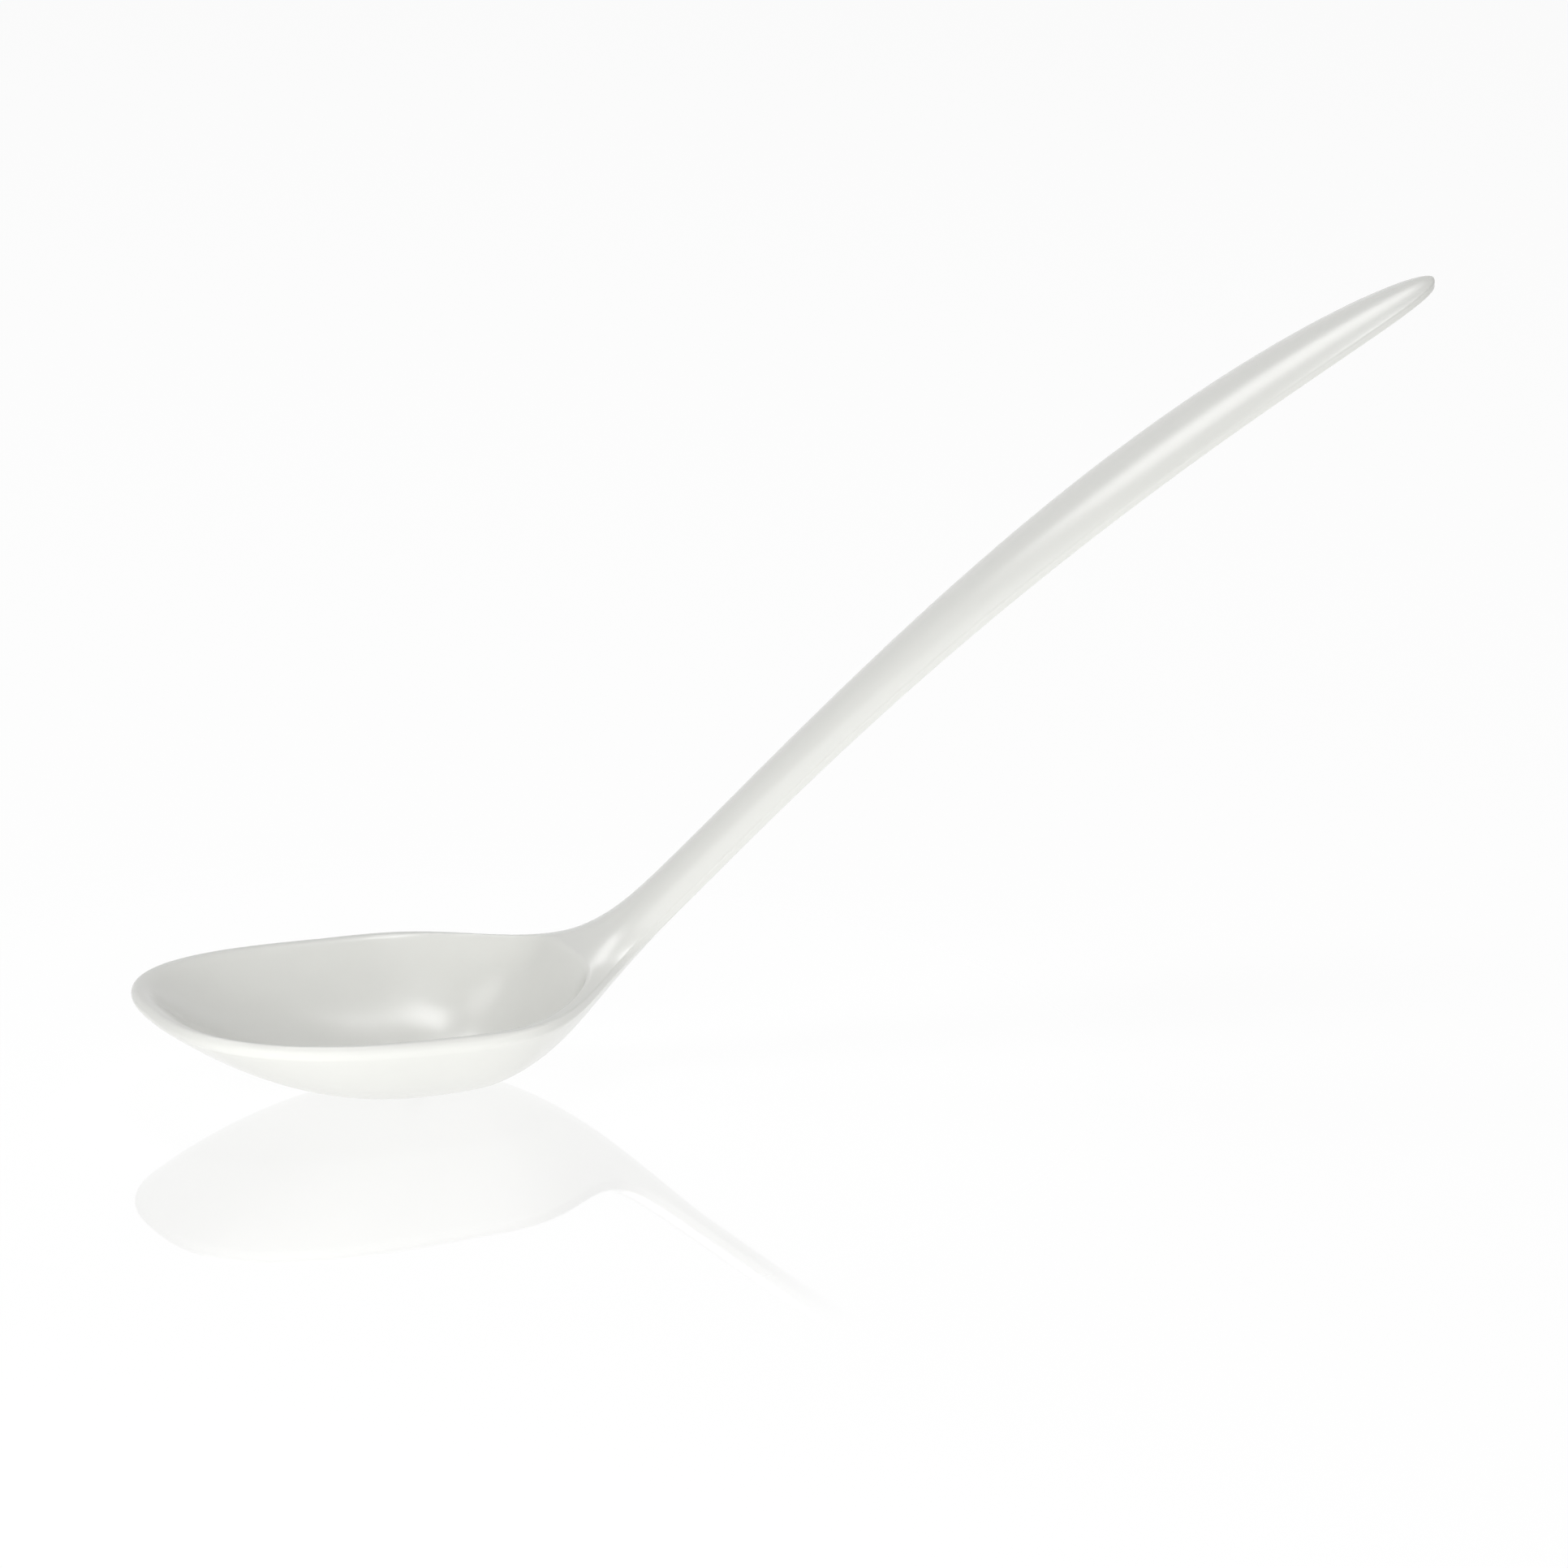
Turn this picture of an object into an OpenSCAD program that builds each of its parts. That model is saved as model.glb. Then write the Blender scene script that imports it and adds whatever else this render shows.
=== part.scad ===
// Moulded serving spoon: a deep egg-shaped bowl with a rounded rim, broad shoulders and an
// arched, crowned handle. Millimetres. X runs from the nose (-X) to the handle's tip (+X),
// Y is the width and Z is up. The origin is the middle of the small flat under the bowl.

/* [Bowl] */
// Length from the middle of the foot forward to the nose
bowl_front = 61; // [52:0.5:75]
// Overall width across the rim
bowl_w = 71.4; // [60:0.2:90]
// Distance from the middle of the foot forward to the widest section
wide_x = 13; // [6:0.5:18]
// Height of the rim above the middle of the foot
rim_h = 19.4; // [16:0.2:26]
// Fall of the rim from the nose towards the handle, in degrees
rim_tilt = 3; // [0:0.1:4.5]
// Fullness of the nose's outline, where 2 is an ellipse
nose_fullness = 2.6; // [2:0.05:3]
// Width of the rim band, seen from above
rim_w = 2.7; // [2:0.1:4]
// Radius of the rim's rounded outer edge
rim_round = 1.3; // [0.8:0.1:1.6]
// Thickness of the bowl's floor
floor_t = 2.6; // [2:0.1:4]
// Length of the cavity behind the middle of the foot
cavity_back = 27.5; // [24:0.5:31]
// Roundness of the edge between the rim and the cavity
lip = 1.3; // [0.8:0.1:2.4]
// Half length of the flat under the bowl, towards the nose
foot_front = 9; // [6:0.5:12]

/* [Neck] */
// Length over which the shoulders draw in from the widest section to the handle
shoulder_len = 73; // [64:0.5:82]
// Roundness of the shoulders where they leave the bowl
shoulder_round = 3.5; // [3:0.1:4.2]
// Sharpness of the shoulders' inward sweep
shoulder_sweep = 8.1; // [6:0.1:9.5]
// Softness of the bend from the rim up into the handle
neck_bend = 12.9; // [9:0.1:16]
// Distance from the middle of the foot to where the heel reaches the rim's height
heel_x = 36.8; // [34:0.2:40]
// Distance from the middle of the foot to the plane where bowl and handle meet
neck_plane = 36; // [34:0.5:42]

/* [Handle] */
// Distance from the middle of the foot to the handle's tip
reach = 218; // [190:1:260]
// Height of the handle's edge at its tip
tip_h = 140.4; // [120:0.1:170]
// Slope of the handle at its narrowest place, in degrees
neck_angle = 41.2; // [36:0.1:46]
// Slope of the handle at its tip, in degrees
tip_angle = 21; // [14:0.5:28]
// Width at the narrowest place
neck_w = 15.6; // [12:0.2:18]
// Greatest width of the handle
grip_w = 22; // [18:0.2:28]
// Distance from the middle of the foot to the handle's greatest width
grip_x = 158; // [130:1:175]
// Fullness of the tip's outline, where 2 is an ellipse
tip_fullness = 2.3; // [1.8:0.05:2.8]
// Height of the side wall along the handle
side_h = 1.4; // [1:0.1:2.2]
// Rise of the crowned top above the side wall
crown_h = 2.2; // [1.2:0.1:3.2]
// Distance from the middle of the foot to where the top starts to rise from its edges
crown_x = 4; // [2:0.5:12]
// Distance from the middle of the foot to where that rise has its full height
crown_full = 30; // [24:0.5:50]
// Depth of the rounded underside below the side wall
belly_h = 1.7; // [0.8:0.1:2.6]
// Radius of the handle's upper edge
edge_r = 0.35; // [0.2:0.05:0.6]

/* [Hidden] */

// Colour of the moulding
ivory = [0.95, 0.95, 0.925];
// Exponents of the bowl's depth curve across its sides and along its heel
side_depth = 2.2;
heel_depth = 1.75;
// Exponent of the cavity's depth curve at its rear wall
rear_depth = 2.5;
// Fullness of the cavity's rear outline, at the floor and at the lip
floor_fullness = 2.7;
lip_fullness = 8;
// Exponent of the change from the one to the other
fullness_rise = 4;
// Share of the crown that runs on over the whole width of the shoulders
camber = 0.15;
// Exponent of the underside's curve across the handle
belly_curve = 2;
// Height of the rim's outer edge on the bowl
rim_side = 2.2;
// Blend between the heel and the handle's underside
heel_blend = 3;
// Least share of a section that is kept for the lip's rings behind the cavity
least_split = 0.2;
// Half width at which the handle's last section is closed
tip_end = 0.25;

// Sections: behind the widest section, round the nose, and along the handle
heel_rows = 36;
nose_rows = 20;
handle_rows = 56;
// Rings across a section: cavity, rim, underside, and the handle's top and underside
cavity_rings = 13;
rim_rings = 3;
under_rings = 10;
grip_rings = 9;
belly_rings = 6;
// Crowding of the cavity's rings towards the lip, of the heel's rows towards the cavity's end
// and of the handle's rows towards the tip
lip_crowd = 1.6;
heel_crowd = 1.25;
tip_crowd = 1.7;
// Steps round the quarter circle of the upper edge
corner_steps = 3;

half_w = bowl_w / 2;
nose_len = bowl_front - wide_x;
// The shoulders end at the handle's narrowest place
neck_x = shoulder_len - wide_x;
foot = foot_front / bowl_front;
foot_back = foot * heel_x;
neck_slope = tan(neck_angle);
tip_slope = tan(tip_angle);
slope_gain = (neck_slope - tip_slope) / (reach - neck_x);

// Smooth step from 0 to 1
function ease(t) = let (c = min(max(t, 0), 1)) c * c * (3 - 2 * c);

// Lesser of two heights, blended over the band k
function blend_min(p, q, k) =
    let (h = max(k - abs(p - q), 0) / k)
    min(p, q) - h * h * k / 4;

// Rounded outline of fullness n, from 1 at t = 0 to 0 at t = 1
function rounded(t, n) = pow(max(1 - pow(min(max(t, 0), 1), n), 0), 1 / n);

// Height of the straight rim line and of the arched handle line at x
function rim_line(x) = rim_h - x * tan(rim_tilt);
function handle_line(x) =
    let (d = reach - x)
    tip_h - d * tip_slope - d * d * slope_gain / 2;

// Height of the spoon's edge: the rim bends up into the handle
function edge_z(x) =
    let (r = rim_line(x), h = handle_line(x))
    (r + h + sqrt(pow(r - h, 2) + pow(neck_bend, 2))) / 2;

// Length of a sloping stretch of the edge for each millimetre of x
function stretch(x) =
    let (
        gap = rim_line(x) - handle_line(x),
        rim_s = -tan(rim_tilt),
        handle_s = tip_slope + (reach - x) * slope_gain,
        bend = gap * (rim_s - handle_s) / sqrt(gap * gap + neck_bend * neck_bend)
    )
    norm([1, (rim_s + handle_s + bend) / 2]);

// Share of the full section that is left as the handle rounds off to its tip
function tip_share(x) = rounded((x - grip_x) / (reach - grip_x), tip_fullness);

// Half width of the handle alone
function handle_half(x) =
    (neck_w + (grip_w - neck_w) * ease((x - neck_x) / (grip_x - neck_x))) / 2 * tip_share(x);

// Half width of the whole outline behind the widest section, and its slope on the shoulders
shoulder_w = (bowl_w - neck_w) / 2;
function shoulder_run(x) = min(max((x + wide_x) / shoulder_len, 0), 1);
function outline_half(x) =
    handle_half(x)
    + shoulder_w * pow(1 - pow(shoulder_run(x), shoulder_round), shoulder_sweep);
function outline_slope(x) =
    let (t = shoulder_run(x))
    shoulder_w * shoulder_sweep * pow(1 - pow(t, shoulder_round), shoulder_sweep - 1)
    * shoulder_round * pow(t, shoulder_round - 1) / shoulder_len;

// Crowned top: it rises from its edge over half the handle's width and is nearly level from there
function crown_rise(x, y) =
    let (
        half = outline_half(x),
        from_edge = (half - abs(y)) / norm([1, outline_slope(x)]),
        t = min(max(from_edge / handle_half(x), 0), 1),
        growth = ease((x - crown_x) / (crown_full - crown_x)) * tip_share(x),
        across = 1 - pow(y / half, 2)
    )
    crown_h * growth * ((1 - camber) * t * (2 - t) + camber * across);
function top_z(x, y) = edge_z(x) + stretch(x) * crown_rise(x, y);

// Radius of the upper edge, from the round rim to the crisp edge of the shoulders and handle
function edge_round(x) = rim_round + (edge_r - rim_round) * ease((x + wide_x) / (2 * wide_x));

// Lower edge of the side wall, from the bowl's rim to the handle
function side_wall(x) = rim_side + (side_h - rim_side) * ease(x / neck_x);
function lower_z(x) = edge_z(x) - stretch(x) * side_wall(x);

// Rise of the underside from its flat or its middle, 0, to the lower edge, 1
function rise(u, flat, n) = max(pow(u, n) - pow(flat, n), 0) / (1 - pow(flat, n));

// Middle line of the underside: the heel runs into the handle's rounded underside
function keel_z(x) =
    let (
        heel = rim_line(heel_x) * rise(x / heel_x, foot, heel_depth),
        bar = edge_z(x) - stretch(x) * (side_wall(x) + belly_h * tip_share(x))
    )
    blend_min(heel, bar, heel_blend);

// A station is [middle x, edge x, edge y]. Behind the bowl's middle the stations lie square to
// the spoon, and towards the widest section they turn into a fan round the middle of the foot.
// A station's rings run from the top's middle over the edge to the underside's middle.
function station(x, half) =
    let (turn = min(max(x, -wide_x), wide_x) + wide_x)
    [turn * turn / (4 * wide_x) + max(x - wide_x, 0), x, half];
function at(s, u, z) = [s[0] + u * (s[1] - s[0]), u * s[2], z];
function reach_of(s) = norm([s[1] - s[0], s[2]]);

// Underside at the share u of a station
function under_z(s, u) =
    let (
        keel = keel_z(s[0]),
        flat = foot * sqrt(max(1 - pow(s[0] / foot_back, 2), 0)),
        n = side_depth + (belly_curve - side_depth) * ease(s[0] / neck_x)
    )
    keel + (lower_z(s[1]) - keel) * rise(u, flat, n);

// Share of a station that the rim leaves to the cavity, with the rim square to the outline
function rim_split(s) =
    let (
        lead = pow(max(-wide_x - s[1], 0) / nose_len, nose_fullness - 1) / nose_len,
        side = pow(abs(s[2]) / half_w, nose_fullness - 1) / half_w
    )
    1 - rim_w * norm([lead, side]) / (side * abs(s[2]) - lead * s[1]);

// Joint length of two shares, with the corner between them of fullness n
function joint(p, q, n) = pow(pow(p, n) + pow(q, n), 1 / n);

// Cavity and rim together at the share u of a station
function inside_z(s, u) =
    let (
        p = at(s, u, 0),
        top = top_z(p[0], p[1]),
        back = s[0] / cavity_back,
        across = u / rim_split(s),
        near_lip = pow(min(joint(back, across, floor_fullness), 1), fullness_rise),
        gauge = joint(back, across, floor_fullness + (lip_fullness - floor_fullness) * near_lip),
        behind = gauge > 0 ? back / gauge : 0,
        n = side_depth + (rear_depth - side_depth) * behind * behind
    )
    blend_min(top, floor_t + (top - floor_t) * pow(gauge, n), lip);

// Rounded upper edge and side wall of a station, from the top's last ring outwards
function edge_points(s) =
    let (z = edge_z(s[1]), r = edge_round(s[1]), k = r / reach_of(s))
    concat(
        [for (i = [1:corner_steps])
            let (a = 90 * i / corner_steps)
            at(s, 1 - k * (1 - sin(a)), z - r * (1 - cos(a)))],
        [at(s, 1, lower_z(s[1]))]
    );

// Share of a station that lies over the cavity
function split_at(s) =
    max(rim_split(s) * rounded(s[0] / cavity_back, floor_fullness), least_split);

function bowl_ring(s) =
    let (split = split_at(s), last = 1 - edge_round(s[1]) / reach_of(s))
    concat(
        [for (k = [1:cavity_rings])
            let (u = split * (1 - pow(1 - k / cavity_rings, lip_crowd)))
            at(s, u, inside_z(s, u))],
        [for (k = [1:rim_rings])
            let (u = split + (last - split) * k / rim_rings)
            at(s, u, inside_z(s, u))],
        edge_points(s),
        [for (k = [1:under_rings])
            let (u = 1 - (1 - foot) * k / under_rings)
            at(s, u, under_z(s, u))]
    );

function handle_ring(s) =
    let (last = 1 - min(edge_r / reach_of(s), 1 / grip_rings))
    concat(
        [for (k = [0:grip_rings])
            let (p = at(s, last * k / grip_rings, 0))
            [p[0], p[1], top_z(p[0], p[1])]],
        edge_points(s),
        [for (k = [1:belly_rings])
            let (u = 1 - k / belly_rings)
            at(s, u, under_z(s, u))]
    );

// Bowl: stations run from the neck along one side, round the nose and back
side_stations = concat(
    [for (i = [0:heel_rows - 1])
        let (x = neck_plane - (neck_plane + wide_x) * pow(i / heel_rows, heel_crowd))
        station(x, outline_half(x))],
    [for (i = [0:nose_rows])
        let (a = 90 * i / nose_rows, n = 2 / nose_fullness)
        station(-wide_x - nose_len * pow(sin(a), n), half_w * pow(max(cos(a), 0), n))]
);
stations = concat(
    side_stations,
    [for (i = [len(side_stations) - 2:-1:0])
        let (s = side_stations[i])
        [s[0], s[1], -s[2]]]
);

module bowl() {
    rings = [for (s = stations) bowl_ring(s)];
    count = len(rings);
    size = len(rings[0]);
    spine = [for (i = [0:heel_rows]) side_stations[i]];
    ring_n = count * size;
    points = concat(
        [for (r = rings) each r],
        [for (s = spine) at(s, 0, inside_z(s, 0))],
        [for (s = spine) at(s, 0, under_z(s, 0))]
    );
    top = [for (i = [0:count - 1]) ring_n + min(i, count - 1 - i, heel_rows)];
    keel = [for (t = top) t + len(spine)];
    skin = [for (i = [0:count - 2], j = [0:size - 2])
        let (a = i * size + j, b = a + size)
        each [[a, b, b + 1], [a, b + 1, a + 1]]];
    fans = [for (i = [0:count - 2])
        let (a = i * size, b = a + size, c = a + size - 1, d = b + size - 1)
        each concat(
            [[top[i], b, a], [c, d, keel[i]]],
            top[i] == top[i + 1] ? [] : [[top[i], top[i + 1], b], [d, keel[i + 1], keel[i]]]
        )];
    end = (count - 1) * size;
    neck = concat(
        [top[0]], [for (j = [0:size - 1]) j],
        [keel[0]], [for (j = [size - 1:-1:0]) end + j]
    );
    color(ivory) polyhedron(points, concat(skin, fans, [neck]), convexity = 6);
}

// Handle: closed sections from the neck to the tip
module handle() {
    last_x = reach - (reach - grip_x)
        * (1 - rounded(2 * tip_end / grip_w, tip_fullness));
    rows = [for (i = [0:handle_rows])
        let (x = neck_plane + (last_x - neck_plane) * (1 - pow(1 - i / handle_rows, tip_crowd)))
        let (
            near = handle_ring(station(x, -outline_half(x))),
            far = handle_ring(station(x, outline_half(x)))
        )
        concat(near, [for (j = [len(far) - 2:-1:1]) far[j]])];
    size = len(rows[0]);
    skin = [for (i = [0:handle_rows - 1], j = [0:size - 1])
        let (a = i * size + j, b = i * size + (j + 1) % size)
        each [[a, b, b + size], [a, b + size, a + size]]];
    neck = [for (j = [size - 1:-1:0]) j];
    tip = [for (j = [0:size - 1]) handle_rows * size + j];
    color(ivory) polyhedron([for (r = rows) each r], concat(skin, [neck, tip]), convexity = 6);
}

bowl();
handle();
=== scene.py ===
"""Moulded off-white serving spoon on a pale, faintly reflecting table.

The spoon is one moulding. Its surface follows one rule from nose to tip, which a node tree works
out point by point, and it is then cut at the neck into the bowl and the handle.
"""

import logging
import math
from dataclasses import dataclass, fields
from enum import Enum
from types import SimpleNamespace
from typing import Union

import bmesh
import bpy
import numpy as np
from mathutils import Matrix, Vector


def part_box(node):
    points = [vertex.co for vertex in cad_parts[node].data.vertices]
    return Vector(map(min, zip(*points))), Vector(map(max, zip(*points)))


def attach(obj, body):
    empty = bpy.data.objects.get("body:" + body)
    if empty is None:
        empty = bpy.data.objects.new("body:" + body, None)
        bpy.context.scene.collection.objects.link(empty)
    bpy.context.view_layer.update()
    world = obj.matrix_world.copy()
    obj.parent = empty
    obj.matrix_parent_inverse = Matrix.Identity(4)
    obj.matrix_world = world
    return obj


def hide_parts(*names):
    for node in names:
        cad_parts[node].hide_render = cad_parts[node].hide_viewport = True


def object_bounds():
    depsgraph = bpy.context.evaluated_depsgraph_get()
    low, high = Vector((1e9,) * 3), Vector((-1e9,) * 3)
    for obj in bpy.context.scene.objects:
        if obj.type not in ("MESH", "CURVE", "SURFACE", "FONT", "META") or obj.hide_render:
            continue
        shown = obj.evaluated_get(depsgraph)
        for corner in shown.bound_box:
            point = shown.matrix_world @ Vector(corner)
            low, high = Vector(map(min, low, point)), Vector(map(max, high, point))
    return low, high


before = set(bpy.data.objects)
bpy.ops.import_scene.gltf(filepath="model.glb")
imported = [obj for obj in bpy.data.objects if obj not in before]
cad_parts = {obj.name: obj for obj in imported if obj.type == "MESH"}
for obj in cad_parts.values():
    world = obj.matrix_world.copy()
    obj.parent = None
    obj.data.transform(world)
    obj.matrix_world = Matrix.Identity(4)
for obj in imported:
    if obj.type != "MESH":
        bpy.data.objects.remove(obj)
cad_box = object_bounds()

log = logging.getLogger("spoon")

MM = 0.001
BODY = "root"
PHOTO_PIXELS = 1932
QUARTER_TURN = math.pi / 2.0
WHITE = (1.0, 1.0, 1.0, 1.0)

Number = Union[float, "Formula"]


class Section(Enum):
    """The two sections of the moulding, by the name of their solids."""

    BOWL = "bowl"
    HANDLE = "handle"


class Formula:
    """A number that a node tree works out for every point of a mesh."""

    def __init__(self, tree: bpy.types.NodeTree, socket: bpy.types.NodeSocket) -> None:
        """Wrap an output socket of a tree."""
        self.tree = tree
        self.socket = socket

    def _math(self, operation: str, *values: Number) -> "Formula":
        """Add one math node.

        Args:
            operation: Blender's name of the operation.
            values: the numbers that it works on, in order.

        Returns:
            The node's result.
        """
        node = self.tree.nodes.new("ShaderNodeMath")
        node.operation = operation
        for socket, value in zip(node.inputs, values):
            if isinstance(value, Formula):
                self.tree.links.new(value.socket, socket)
            else:
                socket.default_value = value
        return Formula(self.tree, node.outputs[0])

    def __add__(self, other: Number) -> "Formula":
        """Sum."""
        return self._math("ADD", self, other)

    def __radd__(self, other: Number) -> "Formula":
        """Sum with a plain number on the left."""
        return self._math("ADD", other, self)

    def __sub__(self, other: Number) -> "Formula":
        """Difference."""
        return self._math("SUBTRACT", self, other)

    def __rsub__(self, other: Number) -> "Formula":
        """Difference from a plain number."""
        return self._math("SUBTRACT", other, self)

    def __mul__(self, other: Number) -> "Formula":
        """Product."""
        return self._math("MULTIPLY", self, other)

    def __rmul__(self, other: Number) -> "Formula":
        """Product with a plain number on the left."""
        return self._math("MULTIPLY", other, self)

    def __truediv__(self, other: Number) -> "Formula":
        """Quotient."""
        return self._math("DIVIDE", self, other)

    def __rtruediv__(self, other: Number) -> "Formula":
        """Quotient of a plain number."""
        return self._math("DIVIDE", other, self)

    def __pow__(self, other: Number) -> "Formula":
        """Power."""
        return self._math("POWER", self, other)

    def __neg__(self) -> "Formula":
        """Negative."""
        return self._math("MULTIPLY", self, -1.0)

    def __abs__(self) -> "Formula":
        """Size without its sign."""
        return self._math("ABSOLUTE", self)

    def root(self) -> "Formula":
        """Square root."""
        return self._math("SQRT", self)

    def sine(self) -> "Formula":
        """Sine."""
        return self._math("SINE", self)

    def cosine(self) -> "Formula":
        """Cosine."""
        return self._math("COSINE", self)

    def tangent(self) -> "Formula":
        """Tangent."""
        return self._math("TANGENT", self)

    def sign(self) -> "Formula":
        """-1, 0 or 1."""
        return self._math("SIGN", self)

    def least(self, other: Number) -> "Formula":
        """Lesser of two numbers."""
        return self._math("MINIMUM", self, other)

    def most(self, other: Number) -> "Formula":
        """Greater of two numbers."""
        return self._math("MAXIMUM", self, other)

    def limited(self, low: Number, high: Number) -> "Formula":
        """Number kept between two limits."""
        return self.most(low).least(high)

    def above(self, level: Number) -> "Formula":
        """1 above a level and 0 below it."""
        return self._math("GREATER_THAN", self, level)


def ease(t: Formula) -> Formula:
    """Smooth step from 0 to 1.

    Args:
        t: the way along the step, which is level before 0 and after 1.

    Returns:
        The height of the step.
    """
    c = t.limited(0.0, 1.0)
    return c * c * (3.0 - 2.0 * c)


def rounded(t: Formula, fullness: Number) -> Formula:
    """Rounded outline, from 1 at t = 0 to 0 at t = 1.

    Args:
        t: the way along the outline.
        fullness: 2 for an ellipse, and more for a squarer end.

    Returns:
        The half width of the outline.
    """
    return (1.0 - t.limited(0.0, 1.0) ** fullness).most(0.0) ** (1.0 / fullness)


def mixed(first: Number, second: Formula, share: Formula) -> Formula:
    """Number that goes from the first to the second with a share.

    Args:
        first: the number at a share of 0.
        second: the number at a share of 1.
        share: how far it has gone.

    Returns:
        The number between them.
    """
    return first + (second - first) * share


def blend_least(p: Formula, q: Formula, band: Number) -> Formula:
    """Lesser of two numbers, blended over a band.

    Args:
        p: the first number.
        q: the second number.
        band: the difference at which the blend starts.

    Returns:
        The lesser, or a little less where the two are close.
    """
    h = (band - abs(p - q)).most(0.0) / band
    return p.least(q) - h * h * band / 4.0


def joint(p: Formula, q: Formula, fullness: Number) -> Formula:
    """Joint length of two shares, with a corner of some fullness between them.

    Args:
        p: the first share.
        q: the second share.
        fullness: 2 for a round corner, and more for a squarer one.

    Returns:
        Their joint length.
    """
    return (p**fullness + q**fullness) ** (1.0 / fullness)


@dataclass
class Steps:
    """How many steps of the grid each stretch of a run has."""

    def count(self) -> int:
        """All the steps together."""
        return sum(getattr(self, stretch.name) for stretch in fields(self))

    def shares(self, run: Formula) -> SimpleNamespace:
        """Split the run into its stretches.

        Args:
            run: 0 where the run starts and 1 where it ends.

        Returns:
            For each stretch, a number that goes from 0 to 1 along it.
        """
        result = SimpleNamespace()
        start = 0
        for stretch in fields(self):
            steps = getattr(self, stretch.name)
            share = (run * float(self.count()) - float(start)) / float(steps)
            setattr(result, stretch.name, share.limited(0.0, 1.0))
            start += steps
        return result


@dataclass
class Rings(Steps):
    """The rings from the middle of the top over the edge to the middle underneath."""

    cavity: int = 40
    rim: int = 14
    upper_edge: int = 8
    wall: int = 4
    lower_edge: int = 6
    under: int = 28


@dataclass
class Stations(Steps):
    """The sections along one side, from the nose to the tip."""

    nose: int = 90
    shoulder: int = 130
    handle: int = 150


class SpoonRule:
    """The spoon's surface as formulas of its sizes. Lengths in metres, X towards the tip."""

    CAVITY_CROWDING = 1.6
    TIP_CROWDING = 1.7
    LEAST_SPLIT = 0.2
    MOST_ROUNDED = 0.25
    TINY = 1e-6

    def __init__(self, size: SimpleNamespace) -> None:
        """Keep the sizes and the lengths that follow from them.

        Args:
            size: the sizes of the moulding as formulas, by their names.
        """
        self.size = size
        self.half_width = size.bowl_width / 2.0
        self.nose_length = size.bowl_front - size.wide_x
        self.foot_share = size.foot_front / size.bowl_front
        self.neck_x = size.shoulder_length - size.wide_x
        self.rim_slope = size.rim_tilt.tangent()
        self.tip_slope = size.tip_angle.tangent()
        self.bend = (size.neck_angle.tangent() - self.tip_slope) / (size.reach - self.neck_x)

    def rim_line(self, x: Formula) -> Formula:
        """Height of the straight line of the rim."""
        return self.size.rim_height - x * self.rim_slope

    def handle_line(self, x: Formula) -> Formula:
        """Height of the arched line of the handle."""
        d = self.size.reach - x
        return self.size.tip_height - d * self.tip_slope - d * d * self.bend / 2.0

    def edge(self, x: Formula) -> Formula:
        """Bend the straight rim up into the arched handle.

        Args:
            x: the place along the spoon.

        Returns:
            The height of the edge there.
        """
        rim, handle = self.rim_line(x), self.handle_line(x)
        gap = rim - handle
        return (rim + handle + (gap * gap + self.size.neck_bend**2.0).root()) / 2.0

    def stretch(self, x: Formula) -> Formula:
        """Work out how much the slope of the edge stretches a height.

        Args:
            x: the place along the spoon.

        Returns:
            The length of the sloping edge for each unit of x.
        """
        gap = self.rim_line(x) - self.handle_line(x)
        climb = self.tip_slope + (self.size.reach - x) * self.bend
        turn = gap * (self.rim_slope + climb) / (gap * gap + self.size.neck_bend**2.0).root()
        slope = (climb - self.rim_slope - turn) / 2.0
        return (1.0 + slope * slope).root()

    def tip_share(self, x: Formula) -> Formula:
        """Share of the full section that is left where the handle rounds off to its tip."""
        size = self.size
        return rounded((x - size.grip_x) / (size.reach - size.grip_x), size.tip_fullness)

    def handle_half(self, x: Formula) -> Formula:
        """Half width of the handle alone."""
        swell = ease((x - self.neck_x) / (self.size.grip_x - self.neck_x))
        return mixed(self.size.neck_width, self.size.grip_width, swell) / 2.0 * self.tip_share(x)

    def shoulder_run(self, x: Formula) -> Formula:
        """Share of the shoulders' length, from the widest section to the narrowest place."""
        return ((x + self.size.wide_x) / self.size.shoulder_length).limited(0.0, 1.0)

    def outline_half(self, x: Formula) -> Formula:
        """Work out the whole outline behind the widest section.

        Args:
            x: the place along the spoon.

        Returns:
            The half width there, of the handle and the shoulders together.
        """
        size = self.size
        shoulder = (1.0 - self.shoulder_run(x) ** size.shoulder_round) ** size.shoulder_sweep
        return self.handle_half(x) + (size.bowl_width - size.neck_width) / 2.0 * shoulder

    def shoulder_slope(self, x: Formula) -> Formula:
        """Work out how fast the shoulders narrow, seen from above.

        Args:
            x: the place along the spoon.

        Returns:
            The slope of their outline there.
        """
        size = self.size
        t = self.shoulder_run(x)
        left = (1.0 - t**size.shoulder_round) ** (size.shoulder_sweep - 1.0)
        steep = size.shoulder_sweep * size.shoulder_round * t ** (size.shoulder_round - 1.0) * left
        return (size.bowl_width - size.neck_width) / 2.0 * steep / size.shoulder_length

    def crown(self, x: Formula, y: Formula) -> Formula:
        """Raise the top from its edge, over half the handle's width and then nearly level.

        Args:
            x: the place along the spoon.
            y: the place across it.

        Returns:
            The rise above the edge, square to the handle.
        """
        size = self.size
        slope = self.shoulder_slope(x)
        half = self.outline_half(x).most(self.TINY)
        from_edge = (half - abs(y)) / (1.0 + slope * slope).root()
        share = (from_edge / self.handle_half(x).most(self.TINY)).limited(0.0, 1.0)
        across = 1.0 - (y / half) ** 2.0
        growth = ease((x - size.crown_x) / (size.crown_full - size.crown_x))
        form = mixed(share * (2.0 - share), across, size.camber)
        return size.crown_height * growth * self.tip_share(x) * form

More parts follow.
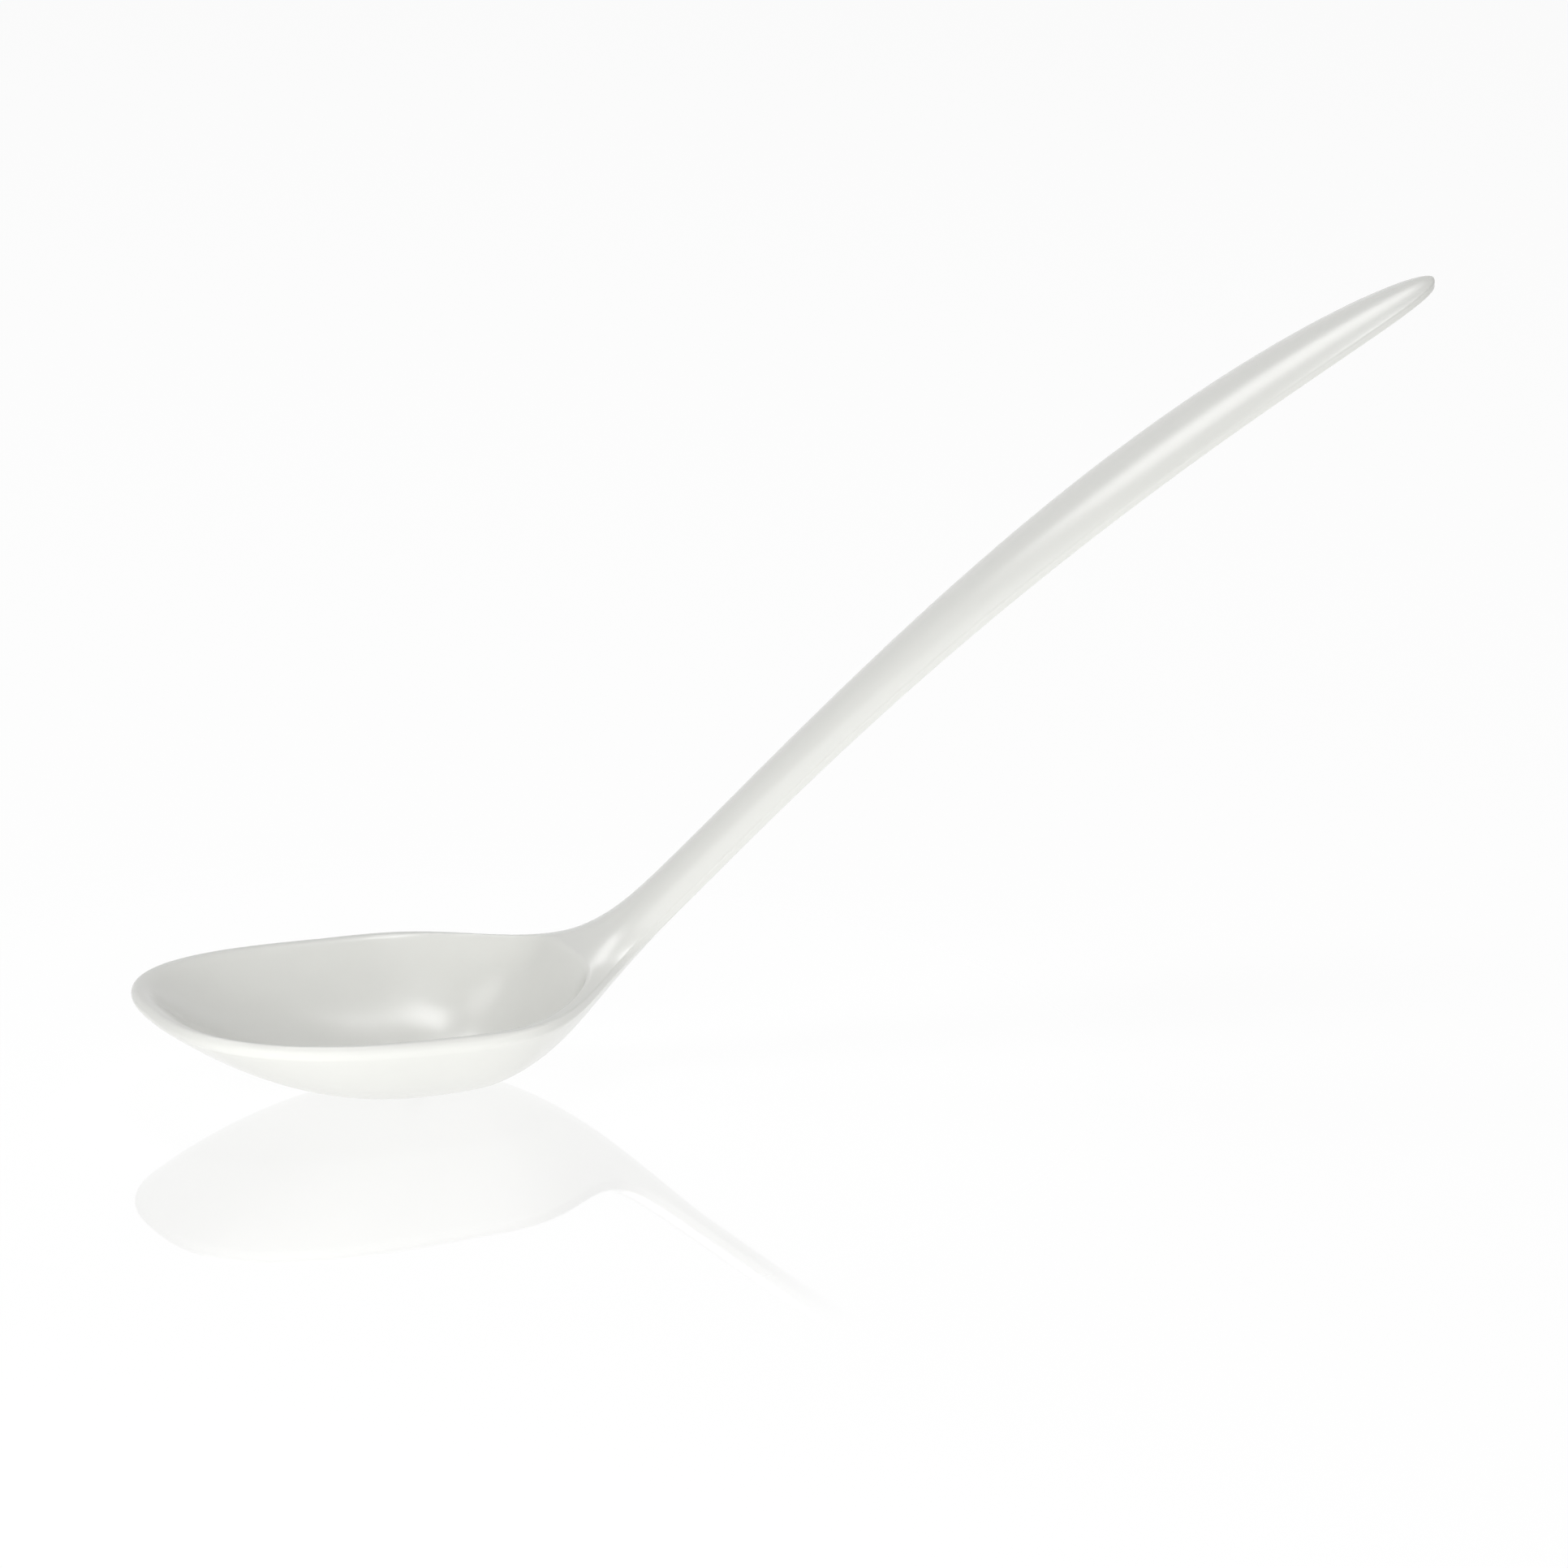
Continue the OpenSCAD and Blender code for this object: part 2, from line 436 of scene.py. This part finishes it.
    def top(self, x: Formula, y: Formula) -> Formula:
        """Height of the rim, the shoulders and the crowned handle."""
        return self.edge(x) + self.stretch(x) * self.crown(x, y)

    def behind_bowl(self, x: Formula) -> Formula:
        """Share that goes from 0 at the widest section to 1 behind the middle of the bowl."""
        return ease((x + self.size.wide_x) / (2.0 * self.size.wide_x))

    def edge_round(self, x: Formula) -> Formula:
        """Radius of the upper edge, from the round rim to the crisp edge behind the bowl."""
        return mixed(self.size.rim_round, self.size.edge_radius, self.behind_bowl(x))

    def low_round(self, x: Formula) -> Formula:
        """Radius of the side wall's lower edge, soft round the rim and crisp behind the bowl."""
        return mixed(self.size.rim_under, self.size.low_radius, self.behind_bowl(x))

    def side_wall(self, x: Formula) -> Formula:
        """Height of the side wall, from the rim to the handle."""
        return mixed(self.size.rim_side, self.size.side_height, ease(x / self.neck_x))

    def lower_edge(self, x: Formula) -> Formula:
        """Height of the side wall's lower edge."""
        return self.edge(x) - self.stretch(x) * self.side_wall(x)

    @staticmethod
    def rise(share: Formula, flat: Formula, curve: Number) -> Formula:
        """Rise of the underside, from 0 on its flat to 1 at the edge."""
        return (share**curve - flat**curve).most(0.0) / (1.0 - flat**curve)

    def keel(self, x: Formula) -> Formula:
        """Run the heel of the bowl into the underside of the handle.

        Args:
            x: the place along the spoon.

        Returns:
            The height of the underside's middle line there.
        """
        size = self.size
        climb = self.rise(x / size.heel_x, self.foot_share, size.heel_depth)
        heel = self.rim_line(size.heel_x) * climb
        thickness = self.side_wall(x) + size.belly_height * self.tip_share(x)
        bar = self.edge(x) - self.stretch(x) * thickness
        return blend_least(heel, bar, size.heel_blend)

    def underside(self, middle: Formula, end: Formula, share: Formula) -> Formula:
        """Height of the underside.

        Args:
            middle: x of the section on the middle line.
            end: x of the section on the outline.
            share: 0 on the middle line and 1 on the outline.

        Returns:
            The height at that share of the section.
        """
        size = self.size
        along = middle / (self.foot_share * size.heel_x)
        flat = self.foot_share * (1.0 - along * along).most(0.0).root()
        curve = mixed(size.side_depth, size.belly_curve, ease(middle / self.neck_x))
        keel = self.keel(middle)
        return mixed(keel, self.lower_edge(end), self.rise(share, flat, curve))

    def rim_split(self, end: Formula, half: Formula) -> Formula:
        """Set the rim square to the outline.

        Args:
            end: x of the section on the outline.
            half: half width of the section.

        Returns:
            The share of the section that the rim leaves to the cavity.
        """
        size = self.size
        power = size.nose_fullness - 1.0
        lead = ((-end - size.wide_x).most(0.0) / self.nose_length) ** power / self.nose_length
        side = (half / self.half_width) ** power / self.half_width
        length_facing = (lead * -end + side * half) / (lead * lead + side * side).root()
        return 1.0 - size.rim_width / length_facing

    def inside(self, middle: Formula, end: Formula, half: Formula, share: Formula) -> Formula:
        """Height of the cavity and the rim together.

        Args:
            middle: x of the section on the middle line.
            end: x of the section on the outline.
            half: half width of the section.
            share: 0 on the middle line and 1 on the outline.

        Returns:
            The height at that share of the section.
        """
        size = self.size
        x = mixed(middle, end, share)
        back = middle / size.cavity_back
        across = share / self.rim_split(end, half)
        near_lip = joint(back, across, size.floor_fullness).least(1.0) ** size.fullness_rise
        gauge = joint(back, across, mixed(size.floor_fullness, size.lip_fullness, near_lip))
        behind = back / gauge.most(self.TINY)
        depth = mixed(size.side_depth, size.rear_depth, behind * behind)
        top = self.top(x, share * half)
        return blend_least(top, mixed(size.floor_thickness, top, gauge**depth), size.lip)

    def outline(self, along: Formula, stations: Stations) -> tuple[Formula, Formula, Formula]:
        """Section lines of one side.

        Args:
            along: 0 at the nose and 1 at the tip.
            stations: how many sections each stretch has.

        Returns:
            x on the middle line, x on the outline and the half width.
        """
        size = self.size
        part = stations.shares(along)
        angle = (1.0 - part.nose) * QUARTER_TURN
        corner = 2.0 / size.nose_fullness
        nose_end = -size.wide_x - self.nose_length * angle.sine().most(0.0) ** corner
        nose_half = self.half_width * angle.cosine().most(0.0) ** corner
        to_tip = 1.0 - (1.0 - part.handle) ** self.TIP_CROWDING
        to_neck = (size.neck_plane + size.wide_x) * part.shoulder
        end = nose_end + (to_neck + (size.reach - size.neck_plane) * to_tip)
        half = mixed(nose_half, self.outline_half(end), part.nose.above(1.0 - self.TINY))
        turn = end.limited(-size.wide_x, size.wide_x) + size.wide_x
        middle = turn * turn / (4.0 * size.wide_x) + (end - size.wide_x).most(0.0)
        return middle, end, half

    def point(
        self, along: Formula, around: Formula, rings: Rings, stations: Stations
    ) -> list[Formula]:
        """Place a point of the surface.

        Args:
            along: 0 at the nose, 1 at the tip of one side and -1 at the tip of the other.
            around: 0 at the middle of the top and 1 at the middle underneath.
            rings: how many rings each stretch has.
            stations: how many sections each stretch has.

        Returns:
            Its x, y and z.
        """
        size = self.size
        part = rings.shares(around)
        middle, end, half = self.outline(abs(along), stations)
        reach = ((end - middle) ** 2.0 + half * half).root().most(self.TINY)
        high, low = self.edge_round(end), self.low_round(end)
        upper = (high / reach).least(self.MOST_ROUNDED)
        lower = (low / reach).least(self.MOST_ROUNDED)
        upper_turn = part.upper_edge * QUARTER_TURN
        lower_turn = part.lower_edge * QUARTER_TURN
        split = self.rim_split(end, half) * rounded(middle / size.cavity_back, size.floor_fullness)
        split = split.most(self.LEAST_SPLIT)
        over = split * (1.0 - (1.0 - part.cavity) ** self.CAVITY_CROWDING)
        over = over + (1.0 - upper - split) * part.rim + upper * upper_turn.sine()
        under = 1.0 - lower * (1.0 - lower_turn.cosine()) - (1.0 - lower) * part.under
        share = over + under - 1.0
        x = mixed(middle, end, share)
        drop = high * (1.0 - upper_turn.cosine())
        lift = low * (1.0 - lower_turn.sine())
        top = self.inside(middle, end, half, over) - drop
        base = self.underside(middle, end, under) + lift
        return [x, share * half * along.sign(), mixed(top, base, part.wall)]


@dataclass
class Moulding:
    """The whole spoon as one surface. Lengths in metres, angles in radians.

    Each fullness is the power of a rounded outline, and each depth or curve that of a hollow.
    """

    WELD = 0.001 * MM
    SLIVER = 0.0005 * MM
    GRID_SIDE = 2.0

    # From the solids
    bowl_front: float
    bowl_width: float
    neck_plane: float
    reach: float
    # Rim
    wide_x: float = 13.0 * MM
    rim_height: float = 19.4 * MM
    rim_tilt: float = math.radians(3.0)
    nose_fullness: float = 2.6
    rim_width: float = 2.7 * MM
    rim_side: float = 2.2 * MM
    rim_round: float = 1.3 * MM
    rim_under: float = 0.85 * MM
    # Cavity, and the bowl underneath
    floor_thickness: float = 2.6 * MM
    cavity_back: float = 27.5 * MM
    floor_fullness: float = 2.7
    lip_fullness: float = 8.0
    fullness_rise: float = 4.0
    lip: float = 1.3 * MM
    foot_front: float = 9.0 * MM
    side_depth: float = 2.2
    heel_depth: float = 1.75
    rear_depth: float = 2.5
    # Shoulders, heel and neck
    shoulder_length: float = 73.0 * MM
    shoulder_round: float = 3.5
    shoulder_sweep: float = 8.1
    neck_bend: float = 12.9 * MM
    heel_x: float = 36.8 * MM
    heel_blend: float = 3.0 * MM
    # Handle
    tip_height: float = 140.4 * MM
    neck_angle: float = math.radians(41.2)
    tip_angle: float = math.radians(21.0)
    neck_width: float = 15.6 * MM
    grip_width: float = 22.0 * MM
    grip_x: float = 158.0 * MM
    tip_fullness: float = 2.3
    side_height: float = 1.4 * MM
    crown_height: float = 2.2 * MM
    crown_x: float = 4.0 * MM
    crown_full: float = 30.0 * MM
    camber: float = 0.15
    belly_height: float = 1.7 * MM
    belly_curve: float = 2.0
    edge_radius: float = 0.35 * MM
    low_radius: float = 0.3 * MM

    @classmethod
    def from_frame(cls) -> "Moulding":
        """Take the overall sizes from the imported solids.

        Returns:
            The moulding with the solids' length, width and neck.
        """
        bowl_low, bowl_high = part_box(Section.BOWL.value)
        _, handle_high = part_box(Section.HANDLE.value)
        return cls(-bowl_low.x, bowl_high.y - bowl_low.y, bowl_high.x, handle_high.x)

    def tree(self, rings: Rings, stations: Stations) -> bpy.types.NodeTree:
        """Build the node tree that lays a grid, from -1 to 1 both ways, over the spoon's surface.

        Args:
            rings: how many rings each stretch across the spoon has.
            stations: how many sections each stretch along the spoon has.

        Returns:
            The tree, with one named input for each size and one for the finish.
        """
        tree = bpy.data.node_groups.new("spoon_surface", "GeometryNodeTree")
        for size in fields(self):
            tree.interface.new_socket(size.name, in_out="INPUT", socket_type="NodeSocketFloat")
        tree.interface.new_socket("finish", in_out="INPUT", socket_type="NodeSocketMaterial")
        tree.interface.new_socket("surface", in_out="OUTPUT", socket_type="NodeSocketGeometry")
        new, link = tree.nodes.new, tree.links.new
        entry = new("NodeGroupInput")
        sizes = {size.name: Formula(tree, entry.outputs[size.name]) for size in fields(self)}

        grid = new("GeometryNodeMeshGrid")
        grid.inputs["Size X"].default_value = self.GRID_SIDE
        grid.inputs["Size Y"].default_value = self.GRID_SIDE
        grid.inputs["Vertices X"].default_value = 2 * stations.count() + 1
        grid.inputs["Vertices Y"].default_value = rings.count() + 1
        place = new("ShaderNodeSeparateXYZ")
        link(new("GeometryNodeInputPosition").outputs[0], place.inputs[0])
        along = Formula(tree, place.outputs["X"])
        around = (Formula(tree, place.outputs["Y"]) + 1.0) / self.GRID_SIDE

        point = new("ShaderNodeCombineXYZ")
        rule = SpoonRule(SimpleNamespace(**sizes))
        for socket, value in zip(point.inputs, rule.point(along, around, rings, stations)):
            link(value.socket, socket)
        move = new("GeometryNodeSetPosition")
        weld = new("GeometryNodeMergeByDistance")
        weld.inputs["Distance"].default_value = self.WELD
        smooth = new("GeometryNodeSetShadeSmooth")
        realize = new("GeometryNodeRealizeInstances")
        paint = new("GeometryNodeSetMaterial")
        leave = new("NodeGroupOutput")
        link(grid.outputs["Mesh"], move.inputs["Geometry"])
        link(point.outputs[0], move.inputs["Position"])
        chain = [move, weld, smooth, realize, paint]
        for first, second in zip(chain, chain[1:]):
            link(first.outputs["Geometry"], second.inputs["Geometry"])
        link(entry.outputs["finish"], paint.inputs["Material"])
        link(paint.outputs["Geometry"], leave.inputs["surface"])
        return tree

    def build(self, finish: bpy.types.Material) -> bpy.types.Mesh:
        """Make the whole surface as a plain closed mesh.

        Args:
            finish: the material of the moulding.

        Returns:
            The mesh, with its smooth normals stored on its points.
        """
        tree = self.tree(Rings(), Stations())
        base = bpy.data.objects.new("spoon_base", bpy.data.meshes.new("spoon_base"))
        bpy.context.scene.collection.objects.link(base)
        modifier = base.modifiers.new("surface", "NODES")
        modifier.node_group = tree
        values = {size.name: getattr(self, size.name) for size in fields(self)}
        values["finish"] = finish
        for item in tree.interface.items_tree:
            if item.in_out == "INPUT":
                modifier[item.identifier] = values[item.name]
        evaluated = base.evaluated_get(bpy.context.evaluated_depsgraph_get())
        mesh = bpy.data.meshes.new_from_object(evaluated)
        base.modifiers.remove(modifier)
        bpy.data.objects.remove(base)
        self.turn_outwards(mesh)
        return mesh

    def turn_outwards(self, mesh: bpy.types.Mesh) -> None:
        """Make the faces of a closed mesh point outwards, without flat slivers.

        Args:
            mesh: the mesh, which is changed in place.
        """
        bm = bmesh.new()
        bm.from_mesh(mesh)
        bmesh.ops.dissolve_degenerate(bm, dist=self.SLIVER, edges=bm.edges)
        bmesh.ops.recalc_face_normals(bm, faces=bm.faces)
        bm.to_mesh(mesh)
        bm.free()


@dataclass
class SpoonSection:
    """One section of the moulding, closed at the neck.

    The cut faces lie on one plane and both sections keep the normals of the uncut surface, so
    that the spoon reads as one moulding.
    """

    section: Section
    neck_plane: float
    slot: str = "melamine"

    NORMAL = "uncut_normal"

    def keeps(self, x: float) -> bool:
        """Say whether a face at x belongs to this section."""
        return (x < self.neck_plane) == (self.section is Section.BOWL)

    def build(self, moulding: bpy.types.Mesh) -> bpy.types.Object:
        """Cut the section out of the moulding and close its neck.

        Args:
            moulding: the mesh of the whole spoon.

        Returns:
            The section as an object at the origin.
        """
        mesh = moulding.copy()
        mesh.name = "spoon_" + self.section.value
        normals = np.zeros(3 * len(mesh.vertices), np.float32)
        mesh.vertex_normals.foreach_get("vector", normals)
        stored = mesh.attributes.new(self.NORMAL, "FLOAT_VECTOR", "POINT")
        stored.data.foreach_set("vector", normals)
        bm = bmesh.new()
        bm.from_mesh(mesh)
        other = [face for face in bm.faces if not self.keeps(face.calc_center_median().x)]
        bmesh.ops.delete(bm, geom=other, context="FACES")
        neck = [edge for edge in bm.edges if edge.is_boundary]
        cut = bmesh.ops.holes_fill(bm, edges=neck)["faces"]
        bmesh.ops.recalc_face_normals(bm, faces=bm.faces)
        for face in cut:
            face.smooth = False
        for edge in neck:
            edge.smooth = False
        bm.to_mesh(mesh)
        bm.free()
        self.restore_normals(mesh)
        piece = bpy.data.objects.new(mesh.name, mesh)
        bpy.context.scene.collection.objects.link(piece)
        return piece

    def restore_normals(self, mesh: bpy.types.Mesh) -> None:
        """Give the section the normals of the uncut surface, except on the cut.

        Args:
            mesh: the section's mesh, which holds them on its points.
        """
        stored = np.zeros(3 * len(mesh.vertices), np.float32)
        mesh.attributes[self.NORMAL].data.foreach_get("vector", stored)
        stored = stored.reshape(-1, 3)
        normals = np.zeros((len(mesh.loops), 3), np.float32)
        for face in mesh.polygons:
            for corner in face.loop_indices:
                point = mesh.loops[corner].vertex_index
                normals[corner] = stored[point] if face.use_smooth else face.normal
        mesh.normals_split_custom_set(normals.tolist())
        mesh.attributes.remove(mesh.attributes[self.NORMAL])

    def dress(self, piece: bpy.types.Object) -> None:
        """Tie the section to its body and hide its solid.

        Args:
            piece: the section's object.
        """
        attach(piece, BODY)
        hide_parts(self.section.value)


@dataclass(frozen=True)
class Melamine:
    """Glossy off-white melamine with a faint mottle and a moulded skin."""

    pale: tuple[float, float, float] = (0.850, 0.853, 0.815)
    deep: tuple[float, float, float] = (0.822, 0.826, 0.790)
    mottle_scale: float = 140.0
    mottle_detail: float = 4.0
    smooth: float = 0.19
    rough: float = 0.25
    grain_scale: float = 900.0
    grain_detail: float = 2.0
    grain_height: float = 0.004 * MM
    grain_strength: float = 0.5
    index: float = 1.58

    def material(self) -> bpy.types.Material:
        """Build the node material.

        Returns:
            The material, with its patterns on Object coordinates.
        """
        material = bpy.data.materials.new("off_white_melamine")
        material.use_nodes = True
        tree = material.node_tree
        new, link = tree.nodes.new, tree.links.new
        shader = tree.nodes["Principled BSDF"]
        shader.inputs["IOR"].default_value = self.index
        place = new("ShaderNodeTexCoord").outputs["Object"]

        mottle = new("ShaderNodeTexNoise")
        mottle.inputs["Scale"].default_value = self.mottle_scale
        mottle.inputs["Detail"].default_value = self.mottle_detail
        link(place, mottle.inputs["Vector"])
        colour = new("ShaderNodeMix")
        colour.data_type = "RGBA"
        colour.inputs["A"].default_value = (*self.deep, 1.0)
        colour.inputs["B"].default_value = (*self.pale, 1.0)
        link(mottle.outputs["Fac"], colour.inputs["Factor"])
        link(colour.outputs["Result"], shader.inputs["Base Color"])

        grain = new("ShaderNodeTexNoise")
        grain.inputs["Scale"].default_value = self.grain_scale
        grain.inputs["Detail"].default_value = self.grain_detail
        link(place, grain.inputs["Vector"])
        sheen = new("ShaderNodeMapRange")
        sheen.inputs["To Min"].default_value = self.smooth
        sheen.inputs["To Max"].default_value = self.rough
        link(grain.outputs["Fac"], sheen.inputs["Value"])
        link(sheen.outputs["Result"], shader.inputs["Roughness"])
        skin = new("ShaderNodeBump")
        skin.inputs["Strength"].default_value = self.grain_strength
        skin.inputs["Distance"].default_value = self.grain_height
        link(grain.outputs["Fac"], skin.inputs["Height"])
        link(skin.outputs["Normal"], shader.inputs["Normal"])
        return material


def facing(azimuth: float, elevation: float) -> Vector:
    """Direction from the spoon to a lamp or camera.

    Args:
        azimuth: degrees from the front of the spoon's near side towards its tip.
        elevation: degrees above the table.

    Returns:
        The direction as a unit vector.
    """
    turn, tilt = math.radians(azimuth), math.radians(elevation)
    level = math.cos(tilt)
    return Vector((math.sin(turn) * level, -math.cos(turn) * level, math.sin(tilt)))


def seen_directly(tree: bpy.types.NodeTree) -> bpy.types.NodeSocket:
    """Tell the rays that show a background from those that light the object.

    Args:
        tree: the node tree that needs to know.

    Returns:
        A socket that is 1 for camera, glossy and transmission rays and 0 for the others.
    """
    rays = tree.nodes.new("ShaderNodeLightPath")
    camera = Formula(tree, rays.outputs["Is Camera Ray"])
    glossy = Formula(tree, rays.outputs["Is Glossy Ray"])
    clear = Formula(tree, rays.outputs["Is Transmission Ray"])
    return camera.most(glossy).most(clear).socket


@dataclass(frozen=True)
class TableTop:
    """Brightly lit white table, with the spoon's shadow and a faint mirror image.

    Bounce is the light that the table throws back on the spoon, and glow is its own brightness
    as it is seen. The mirror image fades out at some way from the middle of the bowl.
    """

    bounce: float = 0.91
    glow: float = 0.927
    shade: float = 0.10
    mirror: float = 0.35
    mirror_roughness: float = 0.03
    fade_start: float = 110.0 * MM
    fade_end: float = 165.0 * MM

    def material(self) -> bpy.types.Material:
        """Build the node material.

        Returns:
            The material of the table.
        """
        material = bpy.data.materials.new("white_table")
        material.use_nodes = True
        tree = material.node_tree
        tree.nodes.clear()
        new, link = tree.nodes.new, tree.links.new
        bounce = new("ShaderNodeEmission")
        bounce.inputs["Strength"].default_value = self.bounce
        shade = new("ShaderNodeBsdfDiffuse")
        shade.inputs["Color"].default_value = (self.shade, self.shade, self.shade, 1.0)
        glow = new("ShaderNodeEmission")
        glow.inputs["Strength"].default_value = self.glow
        lit = new("ShaderNodeAddShader")
        link(shade.outputs[0], lit.inputs[0])
        link(glow.outputs[0], lit.inputs[1])
        mirror = new("ShaderNodeBsdfGlossy")
        mirror.inputs["Color"].default_value = WHITE
        mirror.inputs["Roughness"].default_value = self.mirror_roughness
        away = new("ShaderNodeVectorMath")
        away.operation = "LENGTH"
        link(new("ShaderNodeTexCoord").outputs["Object"], away.inputs[0])
        fade = new("ShaderNodeMapRange")
        fade.interpolation_type = "SMOOTHSTEP"
        fade.inputs["From Min"].default_value = self.fade_start
        fade.inputs["From Max"].default_value = self.fade_end
        fade.inputs["To Min"].default_value = self.mirror
        fade.inputs["To Max"].default_value = 0.0
        link(away.outputs["Value"], fade.inputs["Value"])
        polished = new("ShaderNodeMixShader")
        link(fade.outputs["Result"], polished.inputs["Fac"])
        link(lit.outputs[0], polished.inputs[1])
        link(mirror.outputs[0], polished.inputs[2])
        shown = new("ShaderNodeMixShader")
        link(seen_directly(tree), shown.inputs["Fac"])
        link(bounce.outputs[0], shown.inputs[1])
        link(polished.outputs[0], shown.inputs[2])
        link(shown.outputs[0], new("ShaderNodeOutputMaterial").inputs["Surface"])
        return material


@dataclass
class Floor:
    """The table that the spoon rests on."""

    half_side: float = 4.0
    drop: float = 0.05 * MM

    def build(self) -> bpy.types.Object:
        """Make the table's surface just under the spoon.

        Returns:
            The table's object.
        """
        s, z = self.half_side, -self.drop
        mesh = bpy.data.meshes.new("table")
        mesh.from_pydata([(-s, -s, z), (s, -s, z), (s, s, z), (-s, s, z)], [], [(0, 1, 2, 3)])
        floor = bpy.data.objects.new("table", mesh)
        bpy.context.scene.collection.objects.link(floor)
        return floor

    def dress(self, floor: bpy.types.Object, finish: TableTop) -> None:
        """Give the table its finish."""
        floor.data.materials.append(finish.material())


@dataclass(frozen=True)
class SoftBox:
    """A soft lamp that points at the spoon. Lengths in metres, angles in degrees, power in watts.

    Tall is its height as a share of its side. A lamp that isn't mirrored lights the spoon without
    a highlight of its own.
    """

    name: str
    azimuth: float
    elevation: float
    side: float
    power: float
    tall: float = 1.0
    distance: float = 1.2
    mirrored: bool = True

    def build(self, target: Vector) -> bpy.types.Object:
        """Hang the lamp round a target.

        Args:
            target: the place that it points at.

        Returns:
            The lamp's object.
        """
        back = facing(self.azimuth, self.elevation)
        lamp = bpy.data.lights.new(self.name, "AREA")
        lamp.shape = "RECTANGLE"
        lamp.size = self.side
        lamp.size_y = self.side * self.tall
        lamp.energy = self.power
        box = bpy.data.objects.new(self.name, lamp)
        box.location = target + back * self.distance
        box.rotation_euler = back.to_track_quat("Z", "Y").to_euler()
        box.visible_glossy = self.mirrored
        bpy.context.scene.collection.objects.link(box)
        return box


@dataclass(frozen=True)
class Studio:
    """Even daylight and soft boxes."""

    daylight: float = 0.005
    boxes: tuple[SoftBox, ...] = (
        SoftBox("front_left", -45.0, 9.0, 0.55, 3.6, distance=0.75, mirrored=False),
        SoftBox("front_right", 0.0, 8.0, 0.9, 5.1, mirrored=False),
        SoftBox("left", -112.0, 55.0, 0.6, 1.5),
        SoftBox("back", 180.0, 62.0, 0.9, 0.5),
        SoftBox("tip", 176.0, 50.5, 0.55, 1.75, tall=0.55),
        SoftBox("top", 137.0, 80.0, 0.38, 2.4),
        SoftBox("top_soft", 137.0, 80.0, 0.66, 1.2),
        SoftBox("ceiling", -25.0, 75.0, 0.35, 0.3),
    )

    def build(self, target: Vector) -> None:
        """Light the scene round a target.

        Args:
            target: the place that the lamps point at.
        """
        for box in self.boxes:
            box.build(target)
        world = bpy.data.worlds.new("studio")
        bpy.context.scene.world = world
        world.use_nodes = True
        tree = world.node_tree
        tree.nodes.clear()
        new, link = tree.nodes.new, tree.links.new
        soft = new("ShaderNodeBackground")
        soft.inputs["Strength"].default_value = self.daylight
        white = new("ShaderNodeBackground")
        shown = new("ShaderNodeMixShader")
        for node in (soft, white):
            node.inputs["Color"].default_value = WHITE
        link(seen_directly(tree), shown.inputs["Fac"])
        link(soft.outputs[0], shown.inputs[1])
        link(white.outputs[0], shown.inputs[2])
        link(shown.outputs[0], new("ShaderNodeOutputWorld").inputs["Surface"])


@dataclass(frozen=True)
class PhotoCamera:
    """The photograph's view: where it looks, from which side and how much it takes in.

    Lengths in metres and angles in degrees, with the sensor in millimetres.
    """

    azimuth: float = -24.22
    elevation: float = 17.13
    distance: float = 2.2534
    pixels_per_mm: float = 6.3
    target: tuple[float, float, float] = (59.87 * MM, -33.04 * MM, 63.12 * MM)
    sensor: float = 36.0

    def build(self) -> bpy.types.Object:
        """Set up the camera of the scene.

        Returns:
            The camera's object.
        """
        back = facing(self.azimuth, self.elevation)
        width = PHOTO_PIXELS / self.pixels_per_mm * MM
        data = bpy.data.cameras.new("camera")
        data.sensor_width = self.sensor
        data.lens = self.sensor * self.distance / width
        camera = bpy.data.objects.new("camera", data)
        camera.location = Vector(self.target) + back * self.distance
        camera.rotation_euler = back.to_track_quat("Z", "Y").to_euler()
        bpy.context.scene.collection.objects.link(camera)
        bpy.context.scene.camera = camera
        return camera


def main() -> None:
    """Build the spoon, its table, light and camera in order."""
    logging.basicConfig(level=logging.INFO, format="%(name)s: %(message)s")
    moulding = Moulding.from_frame()
    surface = moulding.build(Melamine().material())
    log.info("surface: %d points, %d faces", len(surface.vertices), len(surface.polygons))
    for section in Section:
        part = SpoonSection(section, moulding.neck_plane)
        piece = part.build(surface)
        part.dress(piece)
        log.info("%s: %d faces", piece.name, len(piece.data.polygons))
    bpy.data.meshes.remove(surface)

    table = Floor()
    floor = table.build()
    table.dress(floor, TableTop())
    log.info("%s: stage", floor.name)
    middle = (cad_box[0] + cad_box[1]) / 2.0
    Studio().build(middle)
    PhotoCamera().build()
    bpy.context.scene.view_settings.view_transform = "Standard"


if __name__ == "__main__":
    main()
